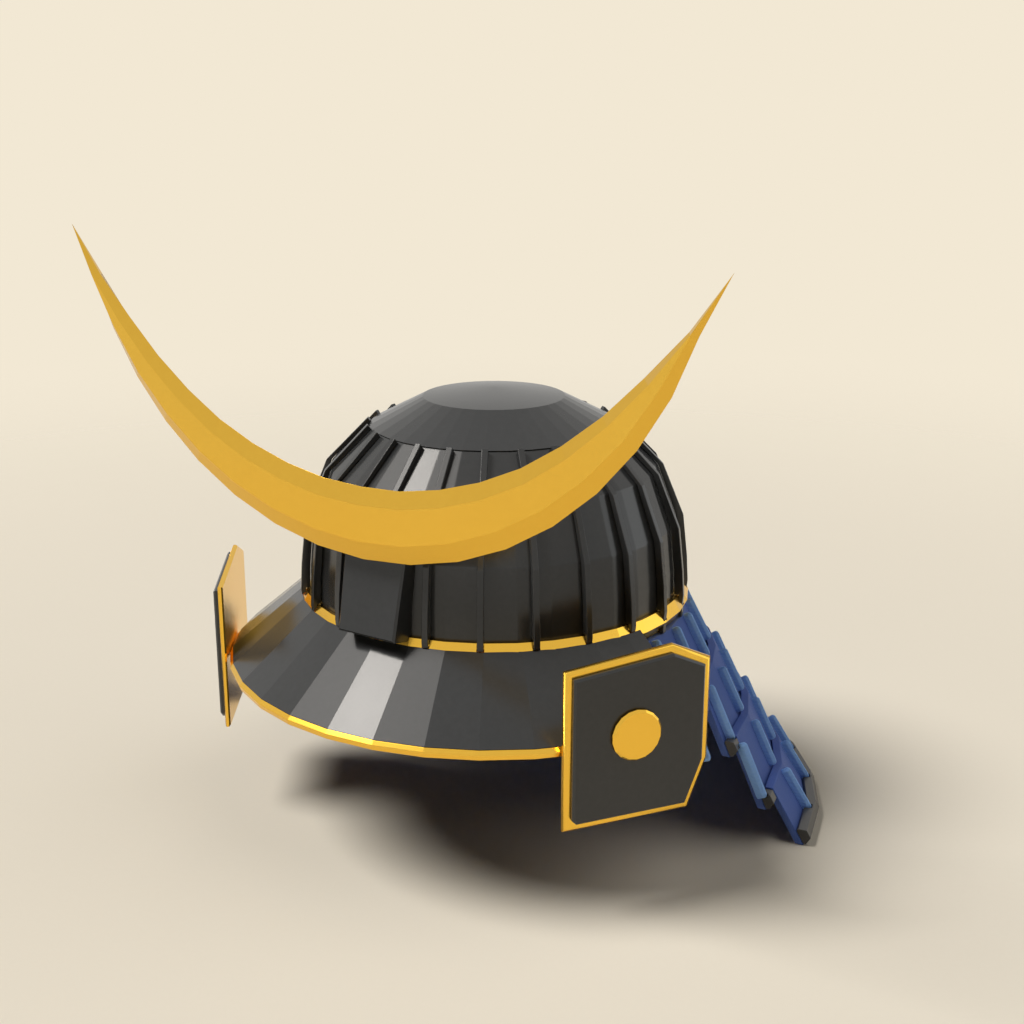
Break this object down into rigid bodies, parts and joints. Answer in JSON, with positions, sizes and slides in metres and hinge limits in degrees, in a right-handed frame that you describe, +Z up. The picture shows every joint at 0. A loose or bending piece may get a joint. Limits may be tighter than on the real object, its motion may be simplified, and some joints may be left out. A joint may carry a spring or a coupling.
{
  "type": "samurai helmet",
  "caption": "Ridged black lacquered helmet bowl with sloping brim, side wings, gilt crescent crest and a flared blue laced neck guard.",
  "frame": {"origin": "on the bowl's axis, at the height of the base band's upper edge, where the helmet sits round the head", "axes": "+Z up through the crown, -Y forward through the crest, +X to the wearer's left"},
  "size_m": [0.4194, 0.3674, 0.3529],
  "materials": {
    "black_lacquer": "glossy black lacquer over iron",
    "gilt": "satin gilt metal",
    "blue_lacing": "blue silk lacing over lacquered plates"
  },
  "bodies": {
    "root": {"bowl": "black_lacquer", "top_cap": "black_lacquer", "base_band": "gilt", "rib_01": "black_lacquer", "rib_02": "black_lacquer", "rib_03": "black_lacquer", "rib_04": "black_lacquer", "rib_05": "black_lacquer", "rib_06": "black_lacquer", "rib_07": "black_lacquer", "rib_08": "black_lacquer", "rib_09": "black_lacquer", "rib_10": "black_lacquer", "rib_11": "black_lacquer", "rib_12": "black_lacquer", "rib_13": "black_lacquer", "rib_14": "black_lacquer", "rib_15": "black_lacquer", "rib_16": "black_lacquer", "rib_17": "black_lacquer", "rib_18": "black_lacquer", "rib_19": "black_lacquer", "rib_20": "black_lacquer", "rib_21": "black_lacquer", "rib_22": "black_lacquer", "rib_23": "black_lacquer", "rib_24": "black_lacquer", "brim": "black_lacquer", "brim_trim": "gilt", "crest_holder": "black_lacquer", "crescent": "gilt", "wing_plate_l": "gilt", "wing_panel_l": "black_lacquer", "wing_disc_l": "gilt", "wing_plate_r": "gilt", "wing_panel_r": "black_lacquer", "wing_disc_r": "gilt", "lame_1": "blue_lacing", "lame_2": "blue_lacing", "lame_3": "blue_lacing", "lame_4": "blue_lacing", "lame_edge_1_l": "black_lacquer", "lame_edge_1_r": "black_lacquer", "lame_edge_2_l": "black_lacquer", "lame_edge_2_r": "black_lacquer", "lame_edge_3_l": "black_lacquer", "lame_edge_3_r": "black_lacquer", "lame_edge_4": "black_lacquer"}
  },
  "joints": []
}
